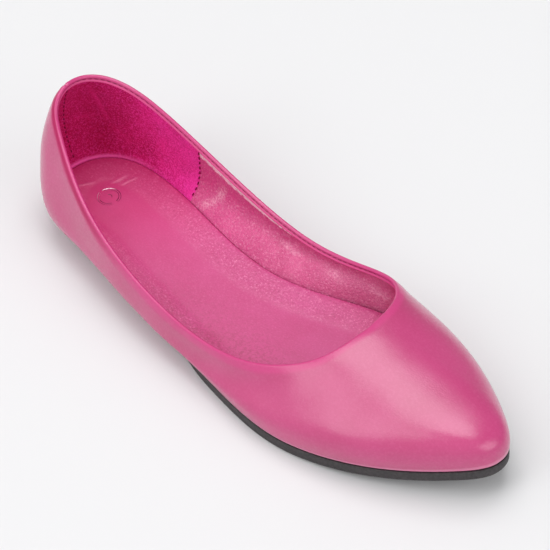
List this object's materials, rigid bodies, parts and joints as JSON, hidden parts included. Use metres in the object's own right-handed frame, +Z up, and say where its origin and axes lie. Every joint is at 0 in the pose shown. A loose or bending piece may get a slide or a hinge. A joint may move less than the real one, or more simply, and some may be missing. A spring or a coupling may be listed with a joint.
{
  "type": "pointed toe flat shoe",
  "caption": "Slip-on flat shoe for the right foot with a pointed toe, an open vamp, a low moulded heel and a thin rubber sole.",
  "frame": {"origin": "on the floor, under the middle of the shoe's box", "axes": "+X to the toe, +Y to the inner side of the foot, +Z up"},
  "size_m": [0.2472, 0.0796, 0.0582],
  "materials": {
    "upper_leather": "smooth, semi-gloss, magenta pink",
    "outsole_rubber": "matt black",
    "insole_sock": "fine grain, satin, pink",
    "lining_suede": "suede nap, deep magenta",
    "lining_smooth": "crinkled grain, glossy, pink",
    "thread": "sewn thread, dark pink",
    "stamp": "thin foil ring"
  },
  "bodies": {
    "root": {"upper": "upper_leather", "outsole": "outsole_rubber", "insole": "insole_sock"}
  },
  "joints": []
}
